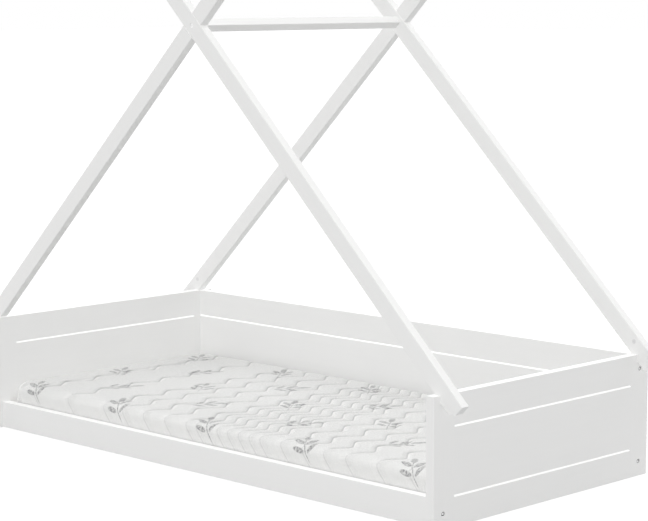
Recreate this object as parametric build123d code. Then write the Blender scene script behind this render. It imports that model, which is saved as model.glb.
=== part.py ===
"""Child's teepee bed: low framed bed, four leaning poles, ridge bar, slats and mattress.

Millimetres. +X runs from the headboard to the footboard, +Y from the open front to the
back panel, +Z up. The origin is on the floor, in the middle of the bed.
"""
import os
from math import atan2, cos, degrees, hypot, pi, sin, tan

from build123d import *

# Mattress and the space it lies in
mattress_length = 2000.0
mattress_width = 900.0
mattress_height = 118.0
mattress_margin = 3.0
mattress_corner = 52.0
mattress_edge = 26.0
mattress_crown = 4.0
side_draw_in = 4.0
edge_ease = 0.6
cover_thickness = 5.0
zip_height = 46.0
zip_width = 8.0
zip_inset = 1.5
mattress_lie = 0.3

# Quilting seams that run across the mattress, in bands of three widths
seam_width = 3.0
seam_depth = 2.5
seam_sway = 20.0
seam_waves = 6
wide_band = 130.0
middle_band = 95.0
narrow_band = 50.0
wide_bands_each_end = 3
middle_bands_each_side = 4
narrow_bands = 7
seam_centre = 90.0

# End panels, framed boards with flush infill
end_thickness = 30.0
end_height = 390.0
end_set_out = 28.0
stile_width = 90.0
rail_width = 93.0
tongue_thickness = 8.0
tongue_length = 10.0
joint_bevel = 6.0
edge_round = 1.5

# Back panel and front rail stand between the end panels
side_thickness = 30.0
front_rail_height = 90.0

# Poles and ridge bar
pole_width = 56.0
pole_thickness = 30.0
pole_tip_length = 270.0
crossing_height = 1415.0
pole_overhang = 17.0
foot_reach = 62.0
pole_slot_clearance = 0.3
foot_trim = 14.5
pole_round = 3.0
ridge_side = 30.0
ridge_round = 2.0

# Slatted base
slat_count = 14
slat_width = 68.0
slat_thickness = 15.0
slat_side_gap = 2.0
slat_end_gap = 12.0
slat_round = 3.0
cleat_width = 20.0
cleat_height = 20.0
cleat_floor_gap = 5.0
cleat_end_gap = 4.0
tape_width = 25.0
tape_thickness = 1.2
tape_offset = 300.0

# Bolts that hold the back panel and front rail to the end panels
frame_bolt_diameter = 6.0
frame_bolt_reach = 52.0
frame_bolt_clearance = 1.0
frame_head_diameter = 12.0
frame_head_height = 5.0
frame_recess_diameter = 16.0
frame_recess_depth = 7.0
hex_socket = 4.0
socket_depth = 3.0
barrel_diameter = 10.0
barrel_length = 18.0
barrel_from_end = 40.0
dowel_diameter = 8.0
dowel_length = 32.0
dowel_spread = 25.0

# Cam fittings in the pole feet
cam_diameter = 15.0
cam_depth = 12.5
cam_above_middle = 9.0
cam_bolt_diameter = 6.0
cam_bolt_thread = 24.0
cam_bolt_play = 1.0
cam_slot_length = 10.5
cam_slot_width = 1.6
cam_slot_depth = 2.0

# Bolts through the crossings into the ridge bar
ridge_bolt_diameter = 8.0
ridge_bolt_reach = 18.0
ridge_bolt_play = 0.5
ridge_head_diameter = 13.0
ridge_head_height = 5.0
ridge_recess_diameter = 14.0
ridge_recess_depth = 6.0
insert_diameter = 12.0
insert_length = 22.0

# Countersunk screws of the slatted base
screw_diameter = 4.0
screw_head_diameter = 8.0
cleat_screw_length = 35.0
cleat_screws_per_side = 6
cleat_screw_inset = 60.0
slat_screw_length = 28.0
slat_screw_inset = 12.0
slat_screw_spread = 36.0

# Places worked out from the sizes above
inside_length = mattress_length + 2 * mattress_margin
inside_width = mattress_width + 2 * mattress_margin
half_inside = inside_length / 2
half_length = half_inside + end_thickness
end_middle = half_inside + end_thickness / 2
half_inner_width = inside_width / 2
half_outer_width = half_inner_width + side_thickness + end_set_out
side_middle = half_inner_width + side_thickness / 2
pole_middle = half_inner_width + pole_thickness / 2
stile_inner = half_outer_width - stile_width

pole_run = half_length + pole_overhang
pole_rise = crossing_height - end_height
lean = atan2(pole_run, pole_rise)
lean_degrees = degrees(lean)
pole_foot_length = hypot(pole_run, pole_rise) + foot_reach
pole_length = pole_foot_length + pole_tip_length

cleat_top = cleat_floor_gap + cleat_height
slat_top = cleat_top + slat_thickness
mattress_bottom = slat_top + mattress_lie

LOW = (Align.CENTER, Align.CENTER, Align.MIN)
ENDS = {"headboard": -1, "footboard": 1}
SIDES = {"front": -1, "back": 1}


def block(x0, x1, y0, y1, z0, z1):
    """Box between two corners."""
    size = (abs(x1 - x0), abs(y1 - y0), abs(z1 - z0))
    return Pos((x0 + x1) / 2, (y0 + y1) / 2, (z0 + z1) / 2) * Box(*size)


def rod(start, direction, length, diameter):
    """Round rod from a point, along a direction."""
    plane = Plane(origin=start, z_dir=direction)
    return plane * Cylinder(diameter / 2, length, align=LOW)


def long_edges(solid, axis, least):
    """Straight edges along an axis that are at least this long."""
    return [e for e in solid.edges().filter_by(axis) if e.length >= least]


def rounded_bar(bar, axis, radius):
    """Bar with its long edges rounded."""
    longest = max(e.length for e in bar.edges().filter_by(axis))
    return fillet(long_edges(bar, axis, longest * 0.99), radius)


# Framed panels

def bevel_cutters(x_middle, thickness, y0, y1, level):
    """Wedges that bevel both faces of a panel along the top edge of the board below a joint."""
    cutters = []
    for side in (-1, 1):
        face = x_middle + side * thickness / 2
        corners = [(face, level), (face - side * joint_bevel, level), (face, level - joint_bevel)]
        outline = make_face(Polyline(*corners, close=True))
        wedge = extrude(Plane.XZ * outline, (y1 - y0) / 2, both=True)
        cutters.append(Pos(0, (y0 + y1) / 2, 0) * wedge)
    return cutters


def panel_infill(x_middle, thickness, y0, y1, z0, z1, side_tongue):
    """Flush infill board with a tongue on its joined edges."""
    half = thickness / 2
    board = block(x_middle - half, x_middle + half, y0, y1, z0, z1)
    tongue = block(
        x_middle - tongue_thickness / 2,
        x_middle + tongue_thickness / 2,
        y0 - side_tongue,
        y1 + side_tongue,
        z0 - tongue_length,
        z1 + tongue_length,
    )
    return board + tongue


def rail_section(x_middle, thickness, y0, y1, z0, z1, inner_edge, side_tongue):
    """Panel rail with a groove for the infill and tongues into the stiles."""
    half = thickness / 2
    outer_edge = z1 if inner_edge == z0 else z0
    rail = block(x_middle - half, x_middle + half, y0, y1, z0, z1)
    edges = [
        e
        for e in rail.edges().filter_by(Axis.Y)
        if abs(e.center().Z - outer_edge) < 0.01
    ]
    rail = fillet(edges, edge_round)
    if side_tongue:
        rail += block(
            x_middle - tongue_thickness / 2,
            x_middle + tongue_thickness / 2,
            y0 - side_tongue,
            y1 + side_tongue,
            z0,
            z1,
        )
    into = tongue_length if inner_edge == z0 else -tongue_length
    rail -= block(
        x_middle - tongue_thickness / 2,
        x_middle + tongue_thickness / 2,
        y0 - side_tongue,
        y1 + side_tongue,
        inner_edge,
        inner_edge + into,
    )
    return rail


def stile(x_middle, thickness, side):
    """Upright of an end panel, with the groove that takes rails and infill."""
    half = thickness / 2
    inner = side * stile_inner
    outer = side * half_outer_width
    post = block(x_middle - half, x_middle + half, inner, outer, 0, end_height)
    free_edges = [e for e in post.edges() if abs(e.center().Y - inner) > 0.01]
    post = fillet(free_edges, edge_round)
    post -= block(
        x_middle - tongue_thickness / 2,
        x_middle + tongue_thickness / 2,
        inner,
        inner + side * tongue_length,
        0,
        end_height,
    )
    return post


def end_panel(end):
    """The five boards of one end panel, without its fixing holes."""
    x = end * end_middle
    low, high = rail_width, end_height - rail_width
    y0, y1 = -stile_inner, stile_inner
    boards = {
        "front_stile": stile(x, end_thickness, -1),
        "back_stile": stile(x, end_thickness, 1),
        "top_rail": rail_section(x, end_thickness, y0, y1, high, end_height, high, tongue_length),
        "bottom_rail": rail_section(x, end_thickness, y0, y1, 0, low, low, tongue_length),
        "infill_panel": panel_infill(x, end_thickness, y0, y1, low, high, tongue_length),
    }
    boards["bottom_rail"] -= bevel_cutters(x, end_thickness, y0, y1, low)
    boards["infill_panel"] -= bevel_cutters(x, end_thickness, y0, y1, high)
    return boards


def back_panel():
    """Rails and infill of the back panel, turned to run along X."""
    low, high = rail_width, end_height - rail_width
    y0, y1 = -half_inside, half_inside
    boards = {
        "back_top_rail": rail_section(0, side_thickness, y0, y1, high, end_height, high, 0),
        "back_bottom_rail": rail_section(0, side_thickness, y0, y1, 0, low, low, 0),
        "back_infill_panel": panel_infill(0, side_thickness, y0, y1, low, high, 0),
    }
    boards["back_bottom_rail"] -= bevel_cutters(0, side_thickness, y0, y1, low)
    boards["back_infill_panel"] -= bevel_cutters(0, side_thickness, y0, y1, high)
    turn = Pos(0, side_middle, 0) * Rot(0, 0, 90)
    return {name: turn * board for name, board in boards.items()}


def front_rail():
    """Low rail of the open front."""
    bar = block(
        -half_inside,
        half_inside,
        -half_inner_width,
        -half_inner_width - side_thickness,
        0,
        front_rail_height,
    )
    return rounded_bar(bar, Axis.X, edge_round)


# Poles and ridge

def pole_place(side, foot):
    """Place of a pole: its crossing point, leaning so that its foot points to an end."""
    return Pos(0, side * pole_middle, crossing_height) * Rot(0, -foot * lean_degrees, 0)


def pole_bar(thickness):
    """Upright bar of pole width whose origin is the crossing point."""
    middle = pole_length / 2 - pole_foot_length
    return Pos(0, 0, middle) * Box(pole_width, thickness, pole_length)


def foot_trim_level():
    """Height at which the lowest corner of each foot is cut level."""
    corner = crossing_height - pole_foot_length * cos(lean) - pole_width / 2 * sin(lean)
    return corner + foot_trim


def pole(side, foot):
    """One pole, halved at the crossing: the footboard pole is whole on its front half."""
    bar = pole_place(side, foot) * rounded_bar(pole_bar(pole_thickness), Axis.Z, pole_round)
    other = pole_place(side, -foot) * pole_bar(pole_thickness)
    far = 2 * pole_length
    middle = side * pole_middle
    half_space = block(-far, far, middle, middle + foot * pole_thickness, 0, far)
    level = foot_trim_level()
    return bar - (other & half_space) - block(-far, far, -far, far, level - far, level)


def pole_slot(end, side):
    """Cutter for the slot in the top of a stile that the pole foot lies in."""
    return pole_place(side, end) * pole_bar(pole_thickness + 2 * pole_slot_clearance)


def ridge_bar():
    """Square bar between the two crossings, standing on its edge."""
    bar = Box(ridge_side, inside_width, ridge_side)
    bar = rounded_bar(bar, Axis.Y, ridge_round)
    return Pos(0, 0, crossing_height) * Rot(0, 45, 0) * bar


# Bolts and fittings

def hex_recess(top, inward):
    """Cutter for the six-sided socket in a bolt head."""
    outline = RegularPolygon(hex_socket / 2, 6, major_radius=False)
    return Plane(origin=top, z_dir=inward) * extrude(outline, socket_depth)


def frame_bolt_places():
    """Middle of each bolt head, as end, side and height."""
    back_heights = (rail_width / 2, end_height - rail_width / 2)
    places = []
    for end in ENDS.values():
        places.append((end, -1, front_rail_height / 2))
        places += [(end, 1, z) for z in back_heights]
    return places


def frame_bolt(end, side, z):
    """Socket-head bolt from the outside of an end panel."""
    y = side * side_middle
    seat = half_length - frame_recess_depth
    tip = half_inside - frame_bolt_reach
    inward = (-end, 0, 0)
    shank = rod((end * seat, y, z), inward, seat - tip, frame_bolt_diameter)
    top = (end * (seat + frame_head_height), y, z)
    head = rod(top, inward, frame_head_height, frame_head_diameter)
    return shank + head - hex_recess(top, inward)


def frame_bolt_hole(end, side, z):
    """Hole and recess for one frame bolt."""
    y = side * side_middle
    inward = (-end, 0, 0)
    depth = end_thickness + frame_bolt_reach
    bore = rod(
        (end * half_length, y, z), inward, depth, frame_bolt_diameter + frame_bolt_clearance
    )
    recess = rod((end * half_length, y, z), inward, frame_recess_depth, frame_recess_diameter)
    return bore + recess


def barrel_nut(end, side, z):
    """Cross nut in the end of a side rail, with the bolt's thread through it."""
    y = side * side_middle
    start = (end * (half_inside - barrel_from_end), y - barrel_length / 2, z)
    nut = rod(start, (0, 1, 0), barrel_length, barrel_diameter)
    thread = rod((end * half_inside, y, z), (-end, 0, 0), frame_bolt_reach, frame_bolt_diameter)
    return nut - thread


def barrel_hole(end, side, z):
    """Hole for a cross nut: from inside in the front rail, from behind in the back panel."""
    open_face = half_inner_width + (side_thickness if side > 0 else 0)
    start = (end * (half_inside - barrel_from_end), side * open_face, z)
    depth = side_thickness / 2 + barrel_length / 2
    return rod(start, (0, -1, 0), depth, barrel_diameter)


def frame_dowel(end, side, z):
    """Wooden dowel beside a frame bolt, half in the end panel and half in the rail."""
    start = (end * (half_inside + dowel_length / 2), side * side_middle, z)
    return rod(start, (-end, 0, 0), dowel_length, dowel_diameter)


def dowel_places():
    """A dowel above and below each frame bolt."""
    return [
        (end, side, z + shift)
        for end, side, z in frame_bolt_places()
        for shift in (-dowel_spread, dowel_spread)
    ]


def cam_height():
    """Level of the cam, a little above the middle line of the pole."""
    return crossing_height - end_middle / tan(lean) + cam_above_middle


def slot_floor(x_from_middle):
    """Level of the slot floor, which lies along the underside of the pole."""
    fall = (x_from_middle + pole_width / 2 * cos(lean)) / sin(lean) * cos(lean)
    return crossing_height - pole_width / 2 * sin(lean) - fall


def cam_body(end, side):
    """Plain round body of a cam, in the pole's inner face."""
    start = (end * end_middle, side * half_inner_width, cam_height())
    return rod(start, (0, side, 0), cam_depth, cam_diameter)


def cam(end, side):
    """Cam with the slot for a screwdriver, caught on its bolt."""
    slot = Box(cam_slot_length, 2 * cam_slot_depth, cam_slot_width)
    slot = Pos(end * end_middle, side * half_inner_width, cam_height()) * slot
    return cam_body(end, side) - slot - cam_bolt_hole(end, side)


def cam_bolt(end, side):
    """Upright bolt screwed into the stile, caught by the cam above."""
    bottom = slot_floor(end_middle) - cam_bolt_thread
    length = cam_height() - bottom
    y = side * (half_inner_width + cam_depth / 2)
    return rod((end * end_middle, y, bottom), (0, 0, 1), length, cam_bolt_diameter)


def cam_bolt_hole(end, side):
    """Clearance round the cam bolt inside the pole."""
    bottom = slot_floor(end_middle) - cam_diameter
    length = cam_height() - bottom
    y = side * (half_inner_width + cam_depth / 2)
    start = (end * end_middle, y, bottom)
    return rod(start, (0, 0, 1), length, cam_bolt_diameter + cam_bolt_play)


def ridge_bolt(side):
    """Bolt through both halved poles into the end of the ridge bar."""
    face = half_inner_width + pole_thickness
    seat = face - ridge_recess_depth
    tip = half_inner_width - ridge_bolt_reach
    inward = (0, -side, 0)
    shank = rod((0, side * seat, crossing_height), inward, seat - tip, ridge_bolt_diameter)
    top = (0, side * (seat + ridge_head_height), crossing_height)
    head = rod(top, inward, ridge_head_height, ridge_head_diameter)
    return shank + head - hex_recess(top, inward)


def ridge_bolt_hole(side):
    """Hole and recess for the bolt at a crossing."""
    face = half_inner_width + pole_thickness
    start = (0, side * face, crossing_height)
    bore = rod(start, (0, -side, 0), pole_thickness, ridge_bolt_diameter + ridge_bolt_play)
    return bore + rod(start, (0, -side, 0), ridge_recess_depth, ridge_recess_diameter)


def ridge_insert(side):
    """Threaded sleeve in the end of the ridge bar."""
    start = (0, side * half_inner_width, crossing_height)
    sleeve = rod(start, (0, -side, 0), insert_length, insert_diameter)
    return sleeve - rod(start, (0, -side, 0), insert_length, ridge_bolt_diameter)


def ridge_insert_hole(side):
    """Hole for the threaded sleeve."""
    start = (0, side * half_inner_width, crossing_height)
    return rod(start, (0, -side, 0), insert_length, insert_diameter)


def screw(point, direction, length):
    """Countersunk screw whose head lies flush at the point."""
    drop = (screw_head_diameter - screw_diameter) / 2
    plane = Plane(origin=point, z_dir=direction)
    head = plane * Cone(screw_head_diameter / 2, screw_diameter / 2, drop, align=LOW)
    return head + rod(point, direction, length, screw_diameter)


# Slatted base

def cleat(side):
    """Wooden cleat along the inside of the front rail or back panel."""
    inner = side * half_inner_width
    reach = half_inside - cleat_end_gap
    return block(-reach, reach, inner, inner - side * cleat_width, cleat_floor_gap, cleat_top)


def cleat_screw_points(side):
    """Screws through a cleat into the board behind it."""
    run = half_inside - cleat_screw_inset
    step = 2 * run / (cleat_screws_per_side - 1)
    y = side * (half_inner_width - cleat_width)
    z = cleat_floor_gap + cleat_height / 2
    return [(-run + n * step, y, z) for n in range(cleat_screws_per_side)]


def slat_places():
    """Middle of each slat along X."""
    run = half_inside - slat_end_gap - slat_width / 2
    step = 2 * run / (slat_count - 1)
    return [-run + n * step for n in range(slat_count)]


def slat(x):
    """One slat across both cleats."""
    half = half_inner_width - slat_side_gap
    bar = block(x - slat_width / 2, x + slat_width / 2, -half, half, cleat_top, slat_top)
    return rounded_bar(bar, Axis.Y, slat_round)


def slat_screw_points(x):
    """Two screws at each end of a slat."""
    y = half_inner_width - slat_side_gap - slat_screw_inset
    spread = slat_screw_spread / 2
    return [(x + dx, dy, slat_top) for dx in (-spread, spread) for dy in (-y, y)]


def slat_tape(side):
    """Webbing tape that keeps the slats at their distance."""
    reach = half_inside - slat_end_gap
    y = side * tape_offset
    half = tape_width / 2
    return block(-reach, reach, y - half, y + half, cleat_top - tape_thickness, cleat_top)


# Mattress

def mattress_plan(inset, draw_in):
    """Plan outline with round corners and sides drawn in between them."""
    half_x = mattress_length / 2 - inset
    half_y = mattress_width / 2 - inset
    corner = mattress_corner - inset
    cut = corner * (1 - cos(pi / 4))
    x_in, y_in = half_x - corner, half_y - corner
    right = ThreePointArc((half_x, -y_in), (half_x - draw_in, 0), (half_x, y_in))
    top_right = ThreePointArc((half_x, y_in), (half_x - cut, half_y - cut), (x_in, half_y))
    back = ThreePointArc((x_in, half_y), (0, half_y - draw_in), (-x_in, half_y))
    top_left = ThreePointArc((-x_in, half_y), (-half_x + cut, half_y - cut), (-half_x, y_in))
    left = ThreePointArc((-half_x, y_in), (-half_x + draw_in, 0), (-half_x, -y_in))
    low_left = ThreePointArc((-half_x, -y_in), (-half_x + cut, -half_y + cut), (-x_in, -half_y))
    front = ThreePointArc((-x_in, -half_y), (0, -half_y + draw_in), (x_in, -half_y))
    low_right = ThreePointArc((x_in, -half_y), (half_x - cut, -half_y + cut), (half_x, -y_in))
    edges = [right, top_right, back, top_left, left, low_left, front, low_right]
    return make_face(edges)


def crowned_profile(half_width, bottom, top, edge):
    """Side view with a flat bottom, round edges and a crowned top."""
    cut = edge * (1 - cos(pi / 4))
    inner = half_width - edge
    shoulder = top - mattress_crown
    low = bottom + edge
    high = shoulder - edge
    right = [
        ThreePointArc((inner, bottom), (half_width - cut, bottom + cut), (half_width, low)),
        Line((half_width, low), (half_width, high)),
        ThreePointArc((half_width, high), (half_width - cut, shoulder - cut), (inner, shoulder)),
    ]
    left = [mirror(line, about=Plane.YZ) for line in right]
    base = Line((-inner, bottom), (inner, bottom))
    crown = ThreePointArc((inner, shoulder), (0, top), (-inner, shoulder))
    return make_face([base, crown, *right, *left])


def mattress_form(inset, sink):
    """Crowned block: a plan and two side views that bound one another."""
    bottom = mattress_bottom + inset
    top = mattress_bottom + mattress_height - inset - sink
    edge = mattress_edge - inset / 2
    half_x = mattress_length / 2 - inset + edge_ease
    half_y = mattress_width / 2 - inset + edge_ease
    plan = Pos(0, 0, bottom) * extrude(mattress_plan(inset, side_draw_in), mattress_height)
    across = crowned_profile(half_y, bottom, top, edge)
    along = crowned_profile(half_x, bottom, top, edge)
    across = extrude(Plane.YZ * across, half_x + 1, both=True)
    along = extrude(Plane.XZ * along, half_y + 1, both=True)
    return plan & across & along


def seam_places():
    """Places of the seams along X, from the narrow bands in the middle outwards."""
    first = narrow_bands / 2 * narrow_band
    inner = [n * narrow_band - first for n in range(narrow_bands + 1)]
    outer = [first + (n + 1) * middle_band for n in range(middle_bands_each_side)]
    last = outer[-1]
    outer += [last + (n + 1) * wide_band for n in range(wide_bands_each_end)]
    fits = mattress_length / 2 - mattress_corner
    places = [seam_centre + x for x in inner + outer + [-x for x in outer]]
    return [x for x in places if abs(x) < fits]


def seam_strip(x):
    """Narrow wavy strip across the mattress, cut down from above."""
    reach = mattress_width / 2
    step = mattress_width / (2 * seam_waves)
    edges = []
    for shift in (-seam_width / 2, seam_width / 2):
        for n in range(2 * seam_waves):
            y = -reach + n * step
            sway = seam_sway if n % 2 else -seam_sway
            start = (x + shift, y)
            middle = (x + shift + sway, y + step / 2)
            edges.append(ThreePointArc(start, middle, (x + shift, y + step)))
    for y in (-reach, reach):
        edges.append(Line((x - seam_width / 2, y), (x + seam_width / 2, y)))
    depth = mattress_edge + seam_depth + mattress_crown
    start = mattress_bottom + mattress_height - depth
    return Pos(0, 0, start) * extrude(make_face(edges), depth)


def mattress_parts():
    """Foam core, quilted cover in two halves, and the zip between them."""
    whole = mattress_form(0, 0)
    lowered = mattress_form(0, seam_depth)
    strips = [seam_strip(x) for x in seam_places()]
    quilted = (whole - strips) + lowered
    core = mattress_form(cover_thickness, 0)
    middle = mattress_bottom + zip_height
    span = mattress_length
    half_zip = zip_width / 2
    above = block(-span, span, -span, span, middle + half_zip, middle + mattress_height)
    below = block(-span, span, -span, span, middle - mattress_height, middle - half_zip)
    band = Pos(0, 0, middle - half_zip) * extrude(mattress_plan(zip_inset, side_draw_in), zip_width)
    return {
        "mattress_core": core,
        "mattress_cover_top": (quilted & above) - core,
        "mattress_cover_bottom": (whole & below) - core,
        "mattress_zip": band - core,
    }


def build():
    """Every node of the bed by name."""
    nodes = {}
    bolt_holes = [frame_bolt_hole(*place) for place in frame_bolt_places()]
    barrel_holes = [barrel_hole(*place) for place in frame_bolt_places()]
    dowels = [frame_dowel(*place) for place in dowel_places()]
    feet = [(end, side) for end in ENDS.values() for side in SIDES.values()]
    cam_bolts = [cam_bolt(*foot) for foot in feet]

    for name, end in ENDS.items():
        boards = end_panel(end)
        for side_name, side in SIDES.items():
            key = f"{side_name}_stile"
            post = boards[key] - pole_slot(end, side)
            boards[key] = post - bolt_holes - dowels - cam_bolts
        for board_name, board in boards.items():
            nodes[f"{name}_{board_name}"] = board

    cleat_screws = []
    for side in SIDES.values():
        into = (0, side, 0)
        cleat_screws += [screw(p, into, cleat_screw_length) for p in cleat_screw_points(side)]
    for board_name, board in back_panel().items():
        nodes[board_name] = board - bolt_holes - barrel_holes - dowels - cleat_screws
    nodes["front_rail"] = front_rail() - bolt_holes - barrel_holes - dowels - cleat_screws

    for foot_name, foot in (("head", -1), ("foot", 1)):
        for side_name, side in SIDES.items():
            fittings = [ridge_bolt_hole(side), cam_bolt_hole(foot, side), cam_body(foot, side)]
            nodes[f"{side_name}_pole_{foot_name}_end"] = pole(side, foot) - fittings
    nodes["ridge_bar"] = ridge_bar() - [ridge_insert_hole(side) for side in SIDES.values()]

    places = slat_places()
    slat_screws = []
    for x in (places[0], places[-1]):
        slat_screws += [screw(p, (0, 0, -1), slat_screw_length) for p in slat_screw_points(x)]
    for n, x in enumerate(places):
        nodes[f"slat_{n + 1:02d}"] = slat(x) - slat_screws
    for side_name, side in SIDES.items():
        nodes[f"{side_name}_cleat"] = cleat(side) - cleat_screws - slat_screws
        nodes[f"{side_name}_slat_tape"] = slat_tape(side)

    nodes["frame_bolts"] = Compound([frame_bolt(*p) for p in frame_bolt_places()])
    nodes["barrel_nuts"] = Compound([barrel_nut(*p) for p in frame_bolt_places()])
    nodes["frame_dowels"] = Compound(dowels)
    nodes["pole_cams"] = Compound([cam(*foot) for foot in feet])
    nodes["pole_cam_bolts"] = Compound(cam_bolts)
    nodes["ridge_bolts"] = Compound([ridge_bolt(side) for side in SIDES.values()])
    nodes["ridge_inserts"] = Compound([ridge_insert(side) for side in SIDES.values()])
    nodes["cleat_screws"] = Compound(cleat_screws)
    nodes["slat_screws"] = Compound(slat_screws)
    nodes.update(mattress_parts())
    return nodes


os.makedirs("parts", exist_ok=True)
for node_name, shape in build().items():
    export_step(shape, f"parts/{node_name}.step")
    print(node_name, len(shape.solids()), round(shape.volume))
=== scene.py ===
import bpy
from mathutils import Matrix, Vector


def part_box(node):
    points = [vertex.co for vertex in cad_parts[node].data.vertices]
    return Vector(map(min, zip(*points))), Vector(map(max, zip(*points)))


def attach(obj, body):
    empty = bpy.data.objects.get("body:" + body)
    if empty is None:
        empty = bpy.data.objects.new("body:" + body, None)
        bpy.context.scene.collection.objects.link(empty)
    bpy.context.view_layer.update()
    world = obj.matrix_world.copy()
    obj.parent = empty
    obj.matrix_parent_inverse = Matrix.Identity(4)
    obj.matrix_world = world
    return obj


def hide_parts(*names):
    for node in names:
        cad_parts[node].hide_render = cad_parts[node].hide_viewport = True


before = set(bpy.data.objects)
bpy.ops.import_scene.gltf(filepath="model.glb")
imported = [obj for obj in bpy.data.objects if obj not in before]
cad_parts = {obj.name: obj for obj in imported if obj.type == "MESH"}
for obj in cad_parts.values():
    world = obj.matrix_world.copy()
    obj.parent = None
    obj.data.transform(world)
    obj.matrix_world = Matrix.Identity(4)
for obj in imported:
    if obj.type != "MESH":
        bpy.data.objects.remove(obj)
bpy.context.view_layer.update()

from fnmatch import fnmatchcase
from math import asin, cos, pi, radians, sin, sqrt

import bmesh
import bpy
import numpy as np
from mathutils import Vector


def corners(node):
    """Lowest and highest corner of a node at rest, in metres to a hundredth of a millimetre."""
    return [[round(value, 5) for value in corner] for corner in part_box(node)]


# Camera fitted to the photograph: metres, degrees, and millimetres for lens and sensor
CAMERA_PLACE = (4.840, -4.843, 1.521)
CAMERA_YAW = 44.38
CAMERA_DOWN = 7.364
CAMERA_LENS = 115.87
SENSOR_WIDTH = 36.0
CAMERA_REACH = 200.0

# The world and the far lamps cast soft shadows; the near lamps only even out the faces.
# Each lamp: name, strength, then spread, azimuth from the front and height in degrees, and
# whether it shades.
WORLD_LIGHT = 0.44
FLOOR_TONE = 0.55
FLOOR_GLOW = 0.45
FLOOR_REACH = 60.0
FLOOR_DROP = 0.0005
LAMPS = (
    ("lamp_front", 1.34, 20, 0, 35, False),
    ("lamp_right", 1.09, 20, 90, 35, False),
    ("lamp_left", 1.00, 50, -90, 30, True),
    ("lamp_back", 0.90, 50, 180, 38, True),
)

# Colours of the lacquer and the woods, each from its dark to its pale parts
WHITE_LOW = (0.796, 0.796, 0.790)
WHITE_HIGH = (0.808, 0.808, 0.802)
# Painted highlight on the lacquer's upward faces, such as bevels and tops
WHITE_PAINTED_HIGHLIGHT = (0.96, 0.96, 0.955)
PINE_LOW = (0.60, 0.39, 0.20)
PINE_HIGH = (0.72, 0.52, 0.30)
BEECH_LOW = (0.58, 0.36, 0.20)
BEECH_HIGH = (0.66, 0.44, 0.27)

# Stretch of the noise along and across the grain
GRAIN_STRETCH = (0.9, 14, 14)
PORE_STRETCH = (6, 260, 260)
RING_STRETCH = (0.8, 16, 16)
FIBRE_STRETCH = (8, 320, 320)

# Colours of the fittings and tapes; threads and mottling go down to a share of them
ZINC = (0.74, 0.74, 0.75)
BRIGHT_ZINC = (0.93, 0.93, 0.93)
DIE_CAST = (0.80, 0.80, 0.80)
# Painted shade of the recesses on the frame-bolt heads, from dark to less dark
BOLT_PAINTED_SHADE_LOW = (0.06, 0.06, 0.065)
BOLT_PAINTED_SHADE_HIGH = (0.14, 0.14, 0.145)
BOLT_LIGHT = (0.95, 0.95, 0.95)
SLAT_TAPE = (0.72, 0.70, 0.64)
ZIP_TAPE = (0.74, 0.74, 0.75)
METAL_SHADE = 0.86
THREAD_SHADE = 0.72

# Heads of the frame bolts: distance from the middle of the bed, heights (the low one lies
# between the front and the back heads), and radius and edge of their light middles, round which
# the head is painted dark as the shade of its recess
BOLT_SIDE = 0.468
BOLT_LEVELS = (0.0458, 0.3435)
BOLT_MIDDLE = 0.0036
BOLT_BLUR = 0.0004

# Thread pitch of the tapes
SLAT_TAPE_PITCH = 0.0012
ZIP_TAPE_PITCH = 0.0009

# Knit of the mattress cover: painted shade and painted light by its slope, and the direction that
# this painted light comes from
KNIT_SHADED = (0.45, 0.45, 0.445)
KNIT_LIT = (0.87, 0.87, 0.858)
PAINTED_LIGHT_DIRECTION = (-0.95, -0.28, 0.0)
RIB_SCALE = 110.0
LOOP_SCALE = 620.0
KNIT_RELIEF = 0.00035

# Stitched seams: painted shade in their creases and its share, their width and sink, and the
# puckers beside them
SEAM_PAINTED_SHADE = (0.36, 0.36, 0.37)
SEAM_SHADE_SHARE = 0.25
SEAM_WIDTH = 0.0045
SEAM_SINK = 1.5
PUCKER = 16.0
PUCKER_FADE = 0.3
PUCKER_REACH = 0.030
PUCKER_STRETCH = (22, 75, 1)

# Print: cell of the pattern, shift and turn in degrees of the sprigs in each half of it
PRINT_GREY = (0.17, 0.17, 0.175)
PRINT_STRENGTH = 0.8
PRINT_CELL = (0.44, 0.38)
PRINT_SHIFT = 0.13
PRINT_SPRIGS = ((0.0, 35.0), (0.5, -35.0))

# Printed sprig: middle, turn in degrees, half length and half width of each leaf and the stem
LEAVES = (
    (0.000, 0.058, 0.0, 0.029, 0.0105),
    (-0.020, 0.024, 38.0, 0.027, 0.0095),
    (0.022, 0.017, -38.0, 0.027, 0.0095),
    (-0.024, -0.015, 42.0, 0.025, 0.0088),
    (0.024, -0.024, -42.0, 0.025, 0.0088),
    (0.000, -0.017, 0.0, 0.061, 0.0022),
)

# Grain directions as turns that bring each board's length onto X; the poles lean in degrees
POLE_LEAN = 44.3
GRAIN = {
    "x": (0, 0, 0),
    "y": (0, 0, radians(-90)),
    "z": (0, radians(90), 0),
    "head": (0, radians(POLE_LEAN), 0),
    "foot": (0, radians(-POLE_LEAN), 0),
}

# Finish of each node, by the first pattern that its name fits
FINISHES = (
    ("*_pole_head_end", "white_lacquer_head"),
    ("*_pole_foot_end", "white_lacquer_foot"),
    ("*_stile", "white_lacquer_z"),
    ("ridge_bar", "white_lacquer_bar"),
    ("headboard_*", "white_lacquer_y"),
    ("footboard_*", "white_lacquer_y"),
    ("back_*_rail", "white_lacquer_x"),
    ("back_infill_panel", "white_lacquer_x"),
    ("front_rail", "white_lacquer_x"),
    ("slat_[01]*", "pine_y"),
    ("*_cleat", "pine_x"),
    ("*_tape", "cotton_tape"),
    ("frame_dowels", "beech"),
    ("pole_cams", "die_cast"),
    ("frame_bolts", "bolt_zinc_painted_shade"),
    ("ridge_bolts", "bright_zinc"),
    ("*", "zinc_plate"),
)

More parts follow.
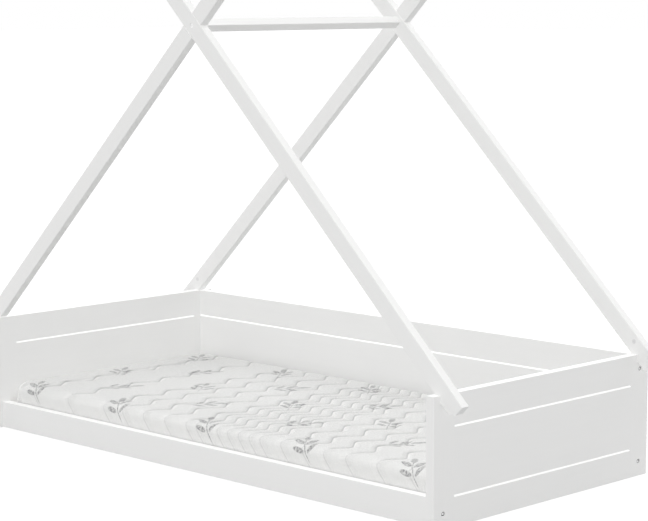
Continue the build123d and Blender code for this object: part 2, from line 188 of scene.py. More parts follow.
# Mattress: the foam pushes the sides a little past the plain cover in the frame
SIDE_STRETCH = 0.0015
SEAM_DEPTH = 0.0068
HALF_X = corners("mattress_cover_top")[1][0]
HALF_Y = corners("mattress_cover_top")[1][1] + SIDE_STRETCH
SEAM_LEVEL = corners("mattress_cover_top")[1][2] - SEAM_DEPTH
SLAT_TOP = corners("mattress_cover_bottom")[0][2]
ZIP_LOW, ZIP_HIGH = (corner[2] for corner in corners("mattress_zip"))
CORNER = 0.052
CORNER_STEPS = 7

# Quilt: rounding of its upper edge, how far its sides start inside the full size, and how
# far it swells up and out
EDGE = 0.024
EDGE_TURNS = 4
SIDE_REST = 0.0004
SWELL_UP = 0.0055
SWELL_OUT = 0.0014
FLAT_X = HALF_X - SIDE_REST - EDGE
FLAT_Y = HALF_Y - SIDE_REST - EDGE
FLAT_CORNER = CORNER - EDGE

# Quilting seams: widths of the bands between them, from the headboard end, and their wave
BANDS = (0.190, 0.190, 0.098, 0.105, 0.106, 0.104) + (0.049,) * 7 + (0.092,) * 4 + (0.127,) * 2
FIRST_SEAM = -0.853
SEAMS = tuple(FIRST_SEAM + sum(BANDS[:count]) for count in range(len(BANDS) + 1))
WAVE = 0.025
WAVE_LENGTH = 0.145
WAVE_PEAK = -0.228
WAVE_POINT = 0.93
END_FADE = 0.075

# Quilt mesh: steps along and across, and the lines close to each seam
STEP_X = 0.0120
STEP_Y = 0.0120
CLOSE_LINES = (0.0016, 0.0045)

# Cloth pass: its settings, its length in frames, and the percentile of the lift that is
# brought to SWELL_UP before the cap
CLOTH = {
    "quality": 4,
    "mass": 0.25,
    "tension_stiffness": 12,
    "compression_stiffness": 12,
    "shear_stiffness": 6,
    "bending_stiffness": 0.3,
    "use_pressure": True,
    "uniform_pressure_force": 7.0,
}
CLOTH_FRAMES = 20
SWELL_PERCENTILE = 60

# Distances that count as none
TOUCH = 1e-6
TINY = 1e-9

# Underside of the mattress: its outline, the rounding of its lower edge, its flat bottom,
# its belly, and its hem as insets and distances below the zip
BASE_INSET = 0.001
BASE_STEP = 0.04
BASE_EDGE = 0.022
BASE_TURNS = 5
BASE_FLAT = 0.030
BASE_BELLY = 0.0004
BASE_HEM = ((0.0002, 0.0025), (0.0022, 0.0))

# Zip's tapes: their outline, hidden back, rounding and hollow, and the channel for the coil
TAPE_INSET = 0.002
TAPE_STEP = 0.02
TAPE_BACK = 0.0035
TAPE_ROUND = 0.0002
TAPE_HOLLOW = 0.0004
CHANNEL_DEPTH = 0.0012
CHANNEL_HALF = 0.0014
CHANNEL_SLOPE = 0.0002

# Zip's coil: its outline, pitch, two radii and sides
COIL_INSET = 0.0026
COIL_PITCH = 0.0032
COIL_RADII = (0.0007, 0.0011)
COIL_SIDES = 6


# Shader helpers

class Tree:
    """Node tree with short calls for the nodes used here."""

    def __init__(self, tree):
        self.nodes = tree.nodes
        self.links = tree.links

    def add(self, kind, **values):
        """New node with its plain properties set."""
        made = self.nodes.new(kind)
        for key, value in values.items():
            setattr(made, key, value)
        return made

    def feed(self, socket, value):
        """Puts a number, a vector, a colour or another node's output into a socket."""
        if isinstance(value, bpy.types.NodeSocket):
            self.links.new(value, socket)
        elif socket.type == "RGBA":
            socket.default_value = (*value, 1)
        else:
            socket.default_value = value

    def math(self, operation, *values):
        """Math node fed with outputs or numbers; gives its output."""
        made = self.add("ShaderNodeMath", operation=operation)
        for socket, value in zip(made.inputs, values):
            self.feed(socket, value)
        return made.outputs[0]

    def vector_math(self, operation, *vectors):
        """Vector math node fed with outputs or vectors; gives its outputs by name."""
        made = self.add("ShaderNodeVectorMath", operation=operation)
        for socket, value in zip(made.inputs, vectors):
            self.feed(socket, value)
        return made.outputs

    def ranged(self, value, source, target=(0, 1), smooth=False):
        """Value taken from one range to another, clamped."""
        made = self.add("ShaderNodeMapRange")
        if smooth:
            made.interpolation_type = "SMOOTHSTEP"
        for socket, number in zip(made.inputs, (value, *source, *target)):
            self.feed(socket, number)
        return made.outputs[0]

    def noise(self, vector, scale, detail=4.0, rough=0.55):
        """Noise value in a scaled space."""
        made = self.add("ShaderNodeTexNoise")
        for key, value in (
            ("Vector", vector), ("Scale", scale), ("Detail", detail), ("Roughness", rough)
        ):
            self.feed(made.inputs[key], value)
        return made.outputs["Fac"]

    def bands(self, vector, direction, scale, distortion, detail=2.0):
        """Bands of a wave texture, of about three waves a metre at scale 1."""
        made = self.add("ShaderNodeTexWave", wave_type="BANDS", bands_direction=direction)
        for key, value in (
            ("Vector", vector), ("Scale", scale), ("Distortion", distortion), ("Detail", detail)
        ):
            self.feed(made.inputs[key], value)
        return made.outputs["Fac"]

    def mapped(self, vector, turn=(0, 0, 0), scale=(1, 1, 1), move=(0, 0, 0), kind="POINT"):
        """Vector turned, scaled and moved."""
        made = self.add("ShaderNodeMapping", vector_type=kind)
        for key, value in (
            ("Vector", vector), ("Location", move), ("Rotation", turn), ("Scale", scale)
        ):
            self.feed(made.inputs[key], value)
        return made.outputs["Vector"]

    def mixed(self, factor, first, second):
        """Mix of two colours or outputs."""
        made = self.add("ShaderNodeMix", data_type="RGBA")
        for key, value in (("Factor", factor), ("A", first), ("B", second)):
            self.feed(made.inputs[key], value)
        return made.outputs["Result"]

    def parts(self, vector):
        """X, Y and Z of a vector."""
        made = self.add("ShaderNodeSeparateXYZ")
        self.feed(made.inputs[0], vector)
        return made.outputs

    def bump(self, height, distance, strength):
        """Normal of a height."""
        made = self.add("ShaderNodeBump")
        for key, value in (("Height", height), ("Distance", distance), ("Strength", strength)):
            self.feed(made.inputs[key], value)
        return made.outputs["Normal"]

    def object_place(self):
        """Place in the object's own coordinates."""
        return self.add("ShaderNodeTexCoord").outputs["Object"]

    def seen_directly(self):
        """1 for camera, glossy and transmission rays."""
        path = self.add("ShaderNodeLightPath").outputs
        either = self.math("MAXIMUM", path["Is Camera Ray"], path["Is Glossy Ray"])
        return self.math("MAXIMUM", either, path["Is Transmission Ray"])


def new_material(name):
    """Material with a Principled shader, as (material, tree, function that feeds the shader)."""
    material = bpy.data.materials.new(name)
    material.use_nodes = True
    tree = Tree(material.node_tree)
    shader = tree.nodes["Principled BSDF"]

    def put(key, value):
        tree.feed(shader.inputs[key], value)

    return material, tree, put


def shaded(colour, share):
    """Darker tone of a colour."""
    return tuple(value * share for value in colour)


# Materials

def lacquer(name, turn, painted_top_highlight=False):
    """White satin lacquer with grain along the turned X axis, and when asked a painted highlight
    on faces that look up, such as bevels and tops.
    """
    material, tree, put = new_material(name)
    along = tree.mapped(tree.object_place(), turn=turn)
    stretched = tree.mapped(along, scale=GRAIN_STRETCH)
    fine = tree.mapped(along, scale=PORE_STRETCH)
    grain = tree.noise(stretched, scale=5.0, detail=6.0, rough=0.6)
    pores = tree.noise(fine, scale=1.0, detail=3.0, rough=0.6)
    clouds = tree.noise(along, scale=3.0, detail=2.0)
    shade = tree.ranged(tree.math("ADD", grain, clouds), (0.7, 1.3))
    colour = tree.mixed(shade, WHITE_LOW, WHITE_HIGH)
    # Painted highlight: faces that look up are mixed towards the pale highlight colour
    if painted_top_highlight:
        normal = tree.add("ShaderNodeNewGeometry").outputs["Normal"]
        painted_highlight_share = tree.ranged(tree.parts(normal)["Z"], (0.45, 0.65))
        colour = tree.mixed(painted_highlight_share, colour, WHITE_PAINTED_HIGHLIGHT)
    height = tree.math("ADD", grain, tree.math("MULTIPLY", pores, 0.5))
    put("Base Color", colour)
    put("Roughness", tree.ranged(clouds, (0.3, 0.7), (0.36, 0.46)))
    put("Normal", tree.bump(height, distance=0.00004, strength=0.35))
    put("Coat Weight", 0.15)
    put("Coat Roughness", 0.25)
    return material


def raw_wood(name, turn, pale, dark, rough):
    """Bare wood with growth rings along the turned X axis."""
    material, tree, put = new_material(name)
    along = tree.mapped(tree.object_place(), turn=turn)
    stretched = tree.mapped(along, scale=RING_STRETCH)
    fine = tree.mapped(along, scale=FIBRE_STRETCH)
    warp = tree.noise(stretched, scale=2.0)
    rings = tree.bands(stretched, "DIAGONAL", scale=2.2, distortion=9.0, detail=3.0)
    fibre = tree.noise(fine, scale=1.0, detail=3.0, rough=0.6)
    blend = tree.math("MULTIPLY", rings, warp)
    height = tree.math("ADD", fibre, tree.math("MULTIPLY", blend, 0.5))
    put("Base Color", tree.mixed(tree.ranged(blend, (0.1, 0.7)), pale, dark))
    put("Roughness", tree.ranged(fibre, (0.3, 0.7), (rough - 0.06, rough + 0.06)))
    put("Normal", tree.bump(height, distance=0.0002, strength=0.7))
    return material


def metal(name, colour, rough, scale):
    """Zinc-plated or die-cast metal with faint mottling."""
    material, tree, put = new_material(name)
    place = tree.object_place()
    spots = tree.noise(place, scale, detail=5.0, rough=0.6)
    pits = tree.noise(place, scale * 4, detail=3.0)
    put("Base Color", tree.mixed(spots, shaded(colour, METAL_SHADE), colour))
    put("Roughness", tree.ranged(spots, (0.3, 0.7), (rough - 0.07, rough + 0.09)))
    put("Normal", tree.bump(pits, distance=0.00006, strength=0.5))
    put("Metallic", 1.0)
    return material


def bolt_metal_painted_shade(name):
    """Plated frame bolts: light middles of the heads, with the shade of their recess painted dark
    round them.
    """
    material, tree, put = new_material(name)
    place = tree.parts(tree.object_place())

    def gap(value, middle):
        return tree.math("ABSOLUTE", tree.math("SUBTRACT", value, middle))

    across = gap(tree.math("ABSOLUTE", place["Y"]), BOLT_SIDE)
    low, high = (gap(place["Z"], level) for level in BOLT_LEVELS)
    up = tree.math("MINIMUM", low, high)
    squares = [tree.math("POWER", value, 2.0) for value in (across, up)]
    radius = tree.math("SQRT", tree.math("ADD", *squares))
    rim = tree.ranged(radius, (BOLT_MIDDLE - BOLT_BLUR, BOLT_MIDDLE + BOLT_BLUR))
    spots = tree.noise(tree.object_place(), scale=900.0, detail=5.0, rough=0.6)
    # Painted shade: outside the light middle the head takes the dark recess shade
    dark = tree.mixed(spots, BOLT_PAINTED_SHADE_LOW, BOLT_PAINTED_SHADE_HIGH)
    put("Base Color", tree.mixed(rim, BOLT_LIGHT, dark))
    put("Roughness", tree.ranged(spots, (0.3, 0.7), (0.28, 0.44)))
    put("Metallic", 1.0)
    return material


def woven(name, colour, pitch):
    """Plain woven tape: crossing threads as two waves, about one to each pitch."""
    material, tree, put = new_material(name)
    place = tree.object_place()
    threads = [
        tree.bands(place, direction, scale=1 / (pi * pitch), distortion=0.3)
        for direction in ("X", "Y")
    ]
    weave = tree.math("MAXIMUM", *threads)
    put("Base Color", tree.mixed(weave, shaded(colour, THREAD_SHADE), colour))
    put("Roughness", 0.85)
    put("Sheen Weight", 0.25)
    put("Normal", tree.bump(weave, distance=0.0003, strength=0.8))
    return material


def leaf_mask(tree, place):
    """1 inside the printed sprig of leaves, 0 outside, from a place in its cell in metres."""
    mask = None
    for x, y, turn, half_long, half_wide in LEAVES:
        local = tree.mapped(
            place,
            move=(x, y, 0),
            turn=(0, 0, radians(turn)),
            scale=(half_wide, half_long, 1),
            kind="TEXTURE",
        )
        length = tree.vector_math("LENGTH", local)["Value"]
        inside = tree.ranged(length, (0.8, 1.15), (1, 0), smooth=True)
        mask = inside if mask is None else tree.math("MAXIMUM", mask, inside)
    return mask


def print_mask(tree, flat):
    """Strength of the print at a place on the flat cloth: sprigs with gritty ink."""
    cell_x, cell_y = PRINT_CELL
    masks = []
    for shift, turn in PRINT_SPRIGS:
        cell = tree.mapped(
            flat, scale=(1 / cell_x, 1 / cell_y, 1), move=(shift, shift + PRINT_SHIFT, 0)
        )
        within = tree.vector_math("FRACTION", cell)["Vector"]
        local = tree.mapped(
            within, move=(-cell_x / 2, -cell_y / 2, 0), scale=(cell_x, cell_y, 0)
        )
        masks.append(leaf_mask(tree, tree.mapped(local, turn=(0, 0, radians(turn)))))
    grit = tree.ranged(tree.noise(flat, scale=130.0, detail=2.0), (0.40, 0.58), (0.3, 1))
    inked = tree.math("MULTIPLY", tree.math("MAXIMUM", *masks), grit)
    return tree.math("MULTIPLY", inked, PRINT_STRENGTH)


def quilted_knit(name, printed):
    """Pale knitted mattress cover with a fine rib, stitched seams with painted shade in their
    creases, painted shade and light by slope, and a leaf print.
    """
    material, tree, put = new_material(name)
    flat = tree.add("ShaderNodeAttribute", attribute_name="cloth").outputs["Vector"]
    seam = tree.add("ShaderNodeAttribute", attribute_name="seam").outputs["Fac"]
    rib = tree.bands(flat, "X", RIB_SCALE, distortion=1.2, detail=1.0)
    loops = tree.add("ShaderNodeTexVoronoi", feature="F1")
    tree.feed(loops.inputs["Scale"], LOOP_SCALE)
    tree.feed(loops.inputs["Vector"], flat)
    knit = tree.math("SUBTRACT", rib, loops.outputs["Distance"])
    near = tree.ranged(seam, (0.0, SEAM_WIDTH), (1, 0), smooth=True)
    pucker = tree.noise(tree.mapped(flat, scale=PUCKER_STRETCH), scale=1.0, detail=2.0)
    reach = tree.ranged(seam, (0.0, PUCKER_REACH), (PUCKER, PUCKER * PUCKER_FADE))
    height = tree.math("SUBTRACT", knit, tree.math("MULTIPLY", near, SEAM_SINK))
    height = tree.math("ADD", height, tree.math("MULTIPLY", pucker, reach))
    normal = tree.bump(height, distance=KNIT_RELIEF, strength=0.9)
    # Painted shade and light: slopes that face the painted light direction get the lit tone, the
    # others the shaded tone
    lean = tree.vector_math("DOT_PRODUCT", normal, PAINTED_LIGHT_DIRECTION)["Value"]
    colour = tree.mixed(tree.ranged(lean, (-0.5, 0.5)), KNIT_SHADED, KNIT_LIT)
    if printed:
        colour = tree.mixed(print_mask(tree, flat), colour, PRINT_GREY)
    # Painted shade in the seam creases
    colour = tree.mixed(tree.math("MULTIPLY", near, SEAM_SHADE_SHARE), colour, SEAM_PAINTED_SHADE)
    put("Base Color", colour)
    put("Normal", normal)
    put("Roughness", 0.8)
    put("Specular IOR Level", 0.25)
    put("Sheen Weight", 0.25)
    put("Sheen Roughness", 0.5)
    return material


def paint_frame():
    """Procedural materials on the nodes that are carried over from the frame."""
    made = [
        # Painted highlight on the upward faces of the boards, rails and stiles
        lacquer(f"white_lacquer_{key}", turn, painted_top_highlight=key in ("x", "y", "z"))
        for key, turn in GRAIN.items()
    ]
    made += [
        lacquer("white_lacquer_bar", GRAIN["y"]),
        raw_wood("pine_y", GRAIN["y"], PINE_HIGH, PINE_LOW, rough=0.6),
        raw_wood("pine_x", GRAIN["x"], PINE_HIGH, PINE_LOW, rough=0.6),
        raw_wood("beech", GRAIN["x"], BEECH_HIGH, BEECH_LOW, rough=0.55),
        metal("zinc_plate", ZINC, rough=0.3, scale=900.0),
        bolt_metal_painted_shade("bolt_zinc_painted_shade"),
        metal("bright_zinc", BRIGHT_ZINC, rough=0.28, scale=900.0),
        metal("die_cast", DIE_CAST, rough=0.5, scale=1500.0),
        woven("cotton_tape", SLAT_TAPE, SLAT_TAPE_PITCH),
    ]
    materials = {material.name: material for material in made}
    for name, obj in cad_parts.items():
        if name.startswith("mattress"):
            continue
        finish = next(finish for pattern, finish in FINISHES if fnmatchcase(name, pattern))
        obj.data.materials.clear()
        obj.data.materials.append(materials[finish])


# Mesh helpers

def evaluated(obj):
    """Mesh of an object with its modifiers applied."""
    graph = bpy.context.evaluated_depsgraph_get()
    return bpy.data.meshes.new_from_object(obj.evaluated_get(graph), depsgraph=graph)


def coordinates(mesh):
    """Places of a mesh's vertices as rows of an array."""
    flat = np.empty(len(mesh.vertices) * 3)
    mesh.vertices.foreach_get("co", flat)
    return flat.reshape(-1, 3)


def move_vertices(mesh, points):
    """Puts the vertices of a mesh at the rows of an array."""
    mesh.vertices.foreach_set("co", points.ravel())
    mesh.update()


def put_attributes(mesh, cloth, distance):
    """Stores the cloth coordinates and seam distances on the vertices."""
    flat = mesh.attributes.new("cloth", "FLOAT_VECTOR", "POINT")
    flat.data.foreach_set("vector", np.array(cloth, dtype=np.float32).ravel())
    seam = mesh.attributes.new("seam", "FLOAT", "POINT")
    seam.data.foreach_set("value", np.array(distance, dtype=np.float32))


def seam_distances(mesh):
    """Distance of each vertex to the nearest seam."""
    seam = np.empty(len(mesh.vertices))
    mesh.attributes["seam"].data.foreach_get("value", seam)
    return seam


def make_object(name, mesh, material):
    """Object of a mesh with its material, in the scene."""
    obj = bpy.data.objects.new(name, mesh)
    bpy.context.scene.collection.objects.link(obj)
    mesh.materials.append(material)
    return obj


def smooth(obj):
    """Smooth shading on every face."""
    obj.data.polygons.foreach_set("use_smooth", [True] * len(obj.data.polygons))


def subdivide(obj):
    """One applied Catmull-Clark level."""
    modifier = obj.modifiers.new("smooth", "SUBSURF")
    modifier.levels = 1
    old = obj.data
    fresh = evaluated(obj)
    obj.modifiers.clear()
    obj.data = fresh
    fresh.name = old.name
    bpy.data.meshes.remove(old)


def close_below(obj, level):
    """Closes the open lower rim with one flat face."""
    work = bmesh.new()
    work.from_mesh(obj.data)
    rim = [edge for edge in work.edges if edge.is_boundary]
    for edge in rim:
        edge.smooth = False
    bmesh.ops.holes_fill(work, edges=rim)
    for vertex in work.verts:
        vertex.co.z = max(vertex.co.z, level)
    bmesh.ops.recalc_face_normals(work, faces=work.faces)
    work.to_mesh(obj.data)
    work.free()


def pushed(place, normal, distance):
    """Place moved along a normal in the plan."""
    return (place[0] + normal[0] * distance, place[1] + normal[1] * distance)


def plan_ring(inset, step):
    """Round-cornered outline of the mattress, drawn in by inset, as places with normals."""
    half_x, half_y, radius = HALF_X - inset, HALF_Y - inset, CORNER - inset
    middles = [
        (x * (half_x - radius), y * (half_y - radius))
        for x, y in ((1, -1), (1, 1), (-1, 1), (-1, -1))
    ]
    ring = []
    for quarter in range(4):
        facing = pi / 2 * quarter
        normal = (cos(facing), sin(facing))
        start = pushed(middles[quarter], normal, radius)
        middle = middles[(quarter + 1) % 4]
        end = pushed(middle, normal, radius)
        run = (end[0] - start[0], end[1] - start[1])
        count = max(1, round(sqrt(run[0] ** 2 + run[1] ** 2) / step))
        ring += [(pushed(start, run, n / count), normal) for n in range(count)]
        for n in range(CORNER_STEPS):
            angle = facing + pi / 2 * n / CORNER_STEPS
            normal = (cos(angle), sin(angle))
            ring.append((pushed(middle, normal, radius), normal))
    return ring


def skin_between(work, rings):
    """Quads between equal rings of bmesh vertices."""
    for low, high in zip(rings, rings[1:]):
        for a in range(len(low)):
            b = (a + 1) % len(low)
            work.faces.new((low[a], low[b], high[b], high[a]))


def rings_along(work, outline, profile):
    """Rings of vertices round the outline: one for each inset and height of the profile."""
    return [
        [work.verts.new((*pushed(place, normal, -inset), z)) for place, normal in outline]
        for inset, z in profile
    ]


def mesh_of(work, name):
    """Mesh of a bmesh, which is then freed."""
    mesh = bpy.data.meshes.new(name)
    work.to_mesh(mesh)
    work.free()
    return mesh


# Quilt

def wave(v):
    """Sideways swing of the seams at a place across the cloth: a softened zigzag."""
    turn = WAVE_POINT * cos(2 * pi * (v - WAVE_PEAK) / WAVE_LENGTH)
    return WAVE * asin(turn) / asin(WAVE_POINT)


def swung(s, v):
    """Place along X of mesh line s at v across, with the wave fading out at both ends."""
    fade = min(1.0, min(FLAT_X - s, FLAT_X + s) / END_FADE)
    return s + wave(v) * fade * fade * (3 - 2 * fade)


def seam_gap(s):
    """Distance from mesh line s to the nearest seam."""
    return min(abs(s - seam) for seam in SEAMS)


def column_lines():
    """Mesh lines along X: each seam, two lines close to it, and even steps between."""
    stops = [-FLAT_X, *SEAMS, FLAT_X]
    lines = []
    for start, end in zip(stops, stops[1:]):
        after = list(CLOSE_LINES) if start in SEAMS else []
        before = [end - start - gap for gap in reversed(CLOSE_LINES)] if end in SEAMS else []
        first = after[-1] if after else 0.0
        last = before[0] if before else end - start
        count = max(2, round((last - first) / STEP_X))
        inner = [first + (last - first) * n / count for n in range(1, count)]
        lines += [start + offset for offset in [0.0] + after + inner + before]
    return lines + [FLAT_X]


def flat_width(x):
    """Half width of the quilt's flat top at x, less at its round corners."""
    beyond = abs(x) - (FLAT_X - FLAT_CORNER)
    if beyond <= 0:
        return FLAT_Y
    return FLAT_Y - FLAT_CORNER + sqrt(max(FLAT_CORNER**2 - beyond**2, 0.0))


def outward(x, y, at_end):
    """Unit vector out of the flat top's outline at a place on it."""
    side_x = 1 if x > 0 else -1
    side_y = 1 if y > 0 else -1
    dx = abs(x) - (FLAT_X - FLAT_CORNER)
    dy = abs(y) - (FLAT_Y - FLAT_CORNER)
    if at_end:
        dy = max(dy, 0.0)
        dx = max(dx, TINY)
    if dx > 0 and dy > 0:
        length = sqrt(dx * dx + dy * dy)
        return (dx / length * side_x, dy / length * side_y)
    if dx > 0:
        return (side_x, 0)
    return (0, side_y)


def side_profile():
    """Quilt's side from its flat top down: step out, drop, and length along the cloth."""
    profile = []
    for n in range(1, EDGE_TURNS + 1):
        angle = pi / 2 * n / EDGE_TURNS
        profile.append((EDGE * sin(angle), EDGE * (1 - cos(angle)), EDGE * angle))
    straight = SEAM_LEVEL - ZIP_HIGH - EDGE
    downs = round(straight / STEP_Y)
    for n in range(1, downs + 1):
        drop = straight * n / downs
        profile.append((EDGE, EDGE + drop, EDGE * pi / 2 + drop))
    return profile


def quilt_mesh(name):
    """Quilt's top and sides as one open mesh, and the vertices of its lower rim."""
    columns = column_lines()
    rows = round(2 * FLAT_Y / STEP_Y)
    across = [-FLAT_Y + 2 * FLAT_Y * n / rows for n in range(rows + 1)]
    points, cloth, distance, faces = [], [], [], []

    def add(place, flat, gap):
        points.append(place)
        cloth.append((*flat, 0.0))
        distance.append(gap)
        return len(points) - 1

    grid = {}
    for i, s in enumerate(columns):
        for j, v in enumerate(across):
            x = swung(s, v)
            y = v * flat_width(x) / FLAT_Y
            grid[i, j] = add((x, y, SEAM_LEVEL), (x, y), seam_gap(s))
    last = len(columns) - 1
    for i in range(last):
        for j in range(rows):
            faces.append((grid[i, j], grid[i + 1, j], grid[i + 1, j + 1], grid[i, j + 1]))

    edge = [(i, 0) for i in range(last + 1)]
    edge += [(last, j) for j in range(1, rows + 1)]
    edge += [(i, rows) for i in range(last - 1, -1, -1)]
    edge += [(0, j) for j in range(rows - 1, 0, -1)]
    ring = [grid[key] for key in edge]
    for out, drop, arc in side_profile():
        fresh = []
        for i, j in edge:
            s = columns[i]
            x, y, z = points[grid[i, j]]
            at_end = i in (0, last)
            along, aside = outward(x, y, at_end)
            v = y + aside * arc
            swing = 0.0
            if not at_end and abs(aside) > 0.99:
                swing = swung(s, v) - swung(s, y)
            gap = 1.0 if at_end else seam_gap(s)
            place = (x + along * out + swing, y + aside * out, z - drop)
            fresh.append(add(place, (x + along * arc + swing, v), gap))
        for a in range(len(ring)):
            b = (a + 1) % len(ring)
            faces.append((ring[a], fresh[a], fresh[b], ring[b]))
        ring = fresh
    mesh = bpy.data.meshes.new(name)
    mesh.from_pydata(points, [], faces)
    put_attributes(mesh, cloth, distance)
    return mesh, ring


def inflate(obj, fixed):
    """Cloth pass: pressure lifts the fabric between the fixed seams, then the lift is capped."""
    scene = bpy.context.scene
    group = obj.vertex_groups.new(name="pins")
    group.add(fixed, 1.0, "REPLACE")
    rest = coordinates(obj.data)
    cloth = obj.modifiers.new("pad", "CLOTH")
    for key, value in CLOTH.items():
        setattr(cloth.settings, key, value)
    cloth.settings.vertex_group_mass = "pins"
    cloth.settings.effector_weights.gravity = 0.0
    cloth.point_cache.frame_start = 1
    cloth.point_cache.frame_end = CLOTH_FRAMES
    for step in range(1, CLOTH_FRAMES + 1):
        scene.frame_set(step)
    moved = coordinates(evaluated(obj)) - rest
    obj.modifiers.remove(cloth)
    obj.vertex_groups.clear()
    scene.frame_set(1)
    up = moved[:, 2]
    gain = SWELL_UP / np.percentile(up, SWELL_PERCENTILE)
    moved[:, 2] = SWELL_UP * np.tanh(up * gain / SWELL_UP)
    out = np.hypot(moved[:, 0], moved[:, 1])
    capped = SWELL_OUT * np.tanh(out / SWELL_OUT)
    moved[:, :2] *= (capped / np.maximum(out, TINY))[:, None]
    move_vertices(obj.data, rest + moved)


def quilt_top(material):
    """Upper half of the mattress: foam under a quilted cover."""
    mesh, rim = quilt_mesh("mattress_quilt")
    obj = make_object("mattress_quilt", mesh, material)
    stitched = np.nonzero(seam_distances(mesh) < TOUCH)[0].tolist()
    inflate(obj, sorted(set(stitched) | set(rim)))
    subdivide(obj)
    close_below(obj, ZIP_HIGH)
    smooth(obj)
    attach(obj, "mattress")
    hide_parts("mattress_cover_top", "mattress_core")


# Underside and zip

def lower_cover(material):
    """Lower half of the cover, stretched flat over the foam."""
    height = ZIP_LOW - SLAT_TOP
    profile = [(BASE_FLAT, 0.0)]
    for n in range(BASE_TURNS + 1):
        angle = pi / 2 * n / BASE_TURNS
        profile.append((BASE_EDGE * (1 - sin(angle)), BASE_EDGE * (1 - cos(angle))))
    profile.append((-BASE_BELLY, (height + BASE_EDGE) / 2))
    profile += [(inset, height - below) for inset, below in BASE_HEM]
    profile = [(inset, SLAT_TOP + rise) for inset, rise in profile]
    work = bmesh.new()
    rings = rings_along(work, plan_ring(BASE_INSET, BASE_STEP), profile)
    skin_between(work, rings)
    work.faces.new(list(reversed(rings[0])))
    work.faces.new(rings[-1])
    mesh = mesh_of(work, "mattress_underside")
    points = coordinates(mesh)
    put_attributes(mesh, points, np.ones(len(points)))
    obj = make_object("mattress_underside", mesh, material)
    smooth(obj)
    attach(obj, "mattress")
    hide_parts("mattress_cover_bottom")


def zip_tape_mesh():
    """Two tapes round the mattress with a shallow channel for the coil between them."""
    middle = (ZIP_LOW + ZIP_HIGH) / 2
    half = [
        (TAPE_BACK, ZIP_LOW),
        (0.0, ZIP_LOW + TAPE_ROUND),
        (TAPE_HOLLOW, middle - CHANNEL_HALF - CHANNEL_SLOPE),
        (CHANNEL_DEPTH, middle - CHANNEL_HALF),
    ]
    profile = half + [(inset, 2 * middle - z) for inset, z in reversed(half)]
    work = bmesh.new()
    rings = rings_along(work, plan_ring(TAPE_INSET, TAPE_STEP), profile)
    skin_between(work, rings + [rings[0]])
    bmesh.ops.recalc_face_normals(work, faces=work.faces)
    return mesh_of(work, "mattress_zip_tape")


def zip_coil_mesh():
    """Coil as a tube round the mattress whose radius steps from tooth to tooth."""
    middle = (ZIP_LOW + ZIP_HIGH) / 2
    outline = plan_ring(COIL_INSET, COIL_PITCH)
    work = bmesh.new()
    rings = []
    for n in range(COIL_SIDES):
        angle = 2 * pi * n / COIL_SIDES
        ring = []
        for m, (place, normal) in enumerate(outline):
            radius = COIL_RADII[m % 2]
            x, y = pushed(place, normal, radius * cos(angle))
            ring.append(work.verts.new((x, y, middle + radius * sin(angle))))
        rings.append(ring)
    skin_between(work, rings + [rings[0]])
    bmesh.ops.recalc_face_normals(work, faces=work.faces)
    return mesh_of(work, "mattress_zip_coil")


def zip_band(material, coil_material):
    """Zip round the mattress: two tapes with a coil between them."""
    tape = make_object("mattress_zip_tape", zip_tape_mesh(), material)
    coil = make_object("mattress_zip_coil", zip_coil_mesh(), coil_material)
    for obj in (tape, coil):
        smooth(obj)
        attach(obj, "mattress")
    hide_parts("mattress_zip")


# Stage

def set_world():
    """White surroundings for the camera, soft light for the object."""
    world = bpy.data.worlds.new("surroundings")
    bpy.context.scene.world = world
    world.use_nodes = True
    tree = Tree(world.node_tree)
    soft = tree.nodes["Background"]
    plain = tree.add("ShaderNodeBackground")
    for background, strength in ((soft, WORLD_LIGHT), (plain, 1.0)):
        tree.feed(background.inputs["Color"], (1, 1, 1))
        tree.feed(background.inputs["Strength"], strength)
    mix = tree.add("ShaderNodeMixShader")
    shares = (tree.seen_directly(), soft.outputs[0], plain.outputs[0])
    for socket, value in zip(mix.inputs, shares):
        tree.feed(socket, value)
    tree.feed(tree.nodes["World Output"].inputs["Surface"], mix.outputs[0])


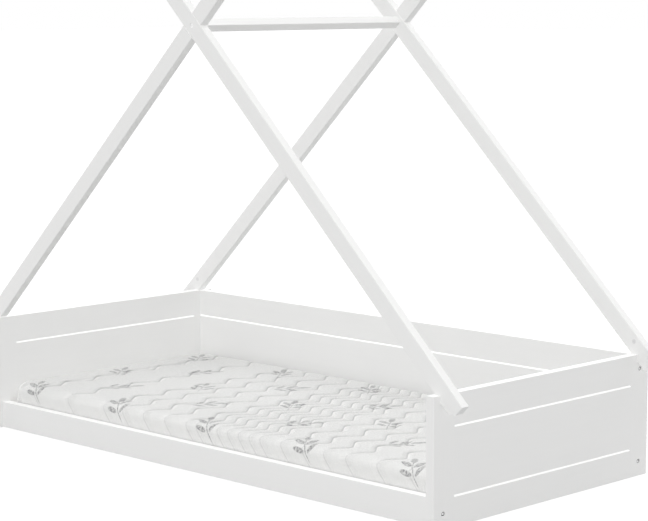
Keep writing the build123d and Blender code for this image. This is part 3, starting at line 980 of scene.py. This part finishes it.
def floor_paint():
    """Matt floor that looks white to the camera and keeps the object's shadow."""
    material = bpy.data.materials.new("floor_paint")
    material.use_nodes = True
    tree = Tree(material.node_tree)
    tree.nodes.remove(tree.nodes["Principled BSDF"])
    matt = tree.add("ShaderNodeBsdfDiffuse")
    tree.feed(matt.inputs["Color"], (FLOOR_TONE, FLOOR_TONE, FLOOR_TONE))
    glow = tree.add("ShaderNodeEmission")
    tree.feed(glow.inputs["Color"], (1, 1, 1))
    tree.feed(glow.inputs["Strength"], tree.math("MULTIPLY", tree.seen_directly(), FLOOR_GLOW))
    both = tree.add("ShaderNodeAddShader")
    tree.feed(both.inputs[0], matt.outputs[0])
    tree.feed(both.inputs[1], glow.outputs[0])
    tree.feed(tree.nodes["Material Output"].inputs["Surface"], both.outputs[0])
    return material


def set_floor():
    """Plain floor just under the object."""
    mesh = bpy.data.meshes.new("floor")
    sides = ((-1, -1), (1, -1), (1, 1), (-1, 1))
    mesh.from_pydata([(x * FLOOR_REACH, y * FLOOR_REACH, 0) for x, y in sides], [], [(0, 1, 2, 3)])
    floor = make_object("floor", mesh, floor_paint())
    floor.location.z = -FLOOR_DROP


def set_lamps():
    """Broad suns round the object that no surface mirrors."""
    for name, strength, spread, azimuth, height, shades in LAMPS:
        lamp = bpy.data.lights.new(name, "SUN")
        lamp.energy = strength
        lamp.angle = radians(spread)
        lamp.use_shadow = shades
        obj = bpy.data.objects.new(name, lamp)
        obj.visible_glossy = False
        bpy.context.scene.collection.objects.link(obj)
        around, up = radians(azimuth), radians(height)
        toward = Vector((sin(around) * cos(up), -cos(around) * cos(up), sin(up)))
        obj.rotation_euler = toward.to_track_quat("Z", "Y").to_euler()


def set_camera():
    """Camera at the photograph's place, with the standard view."""
    scene = bpy.context.scene
    scene.view_settings.view_transform = "Standard"
    data = bpy.data.cameras.new("camera")
    data.sensor_fit = "HORIZONTAL"
    data.sensor_width = SENSOR_WIDTH
    data.lens = CAMERA_LENS
    data.clip_end = CAMERA_REACH
    camera = bpy.data.objects.new("camera", data)
    scene.collection.objects.link(camera)
    camera.location = CAMERA_PLACE
    camera.rotation_euler = (radians(90 - CAMERA_DOWN), 0, radians(CAMERA_YAW))
    scene.camera = camera


set_camera()
set_world()
set_floor()
set_lamps()
paint_frame()
quilt_top(quilted_knit("quilted_knit", printed=True))
lower_cover(quilted_knit("plain_knit", printed=False))
zip_band(
    woven("zip_tape_cloth", ZIP_TAPE, ZIP_TAPE_PITCH),
    metal("zip_coil", DIE_CAST, rough=0.5, scale=500.0),
)
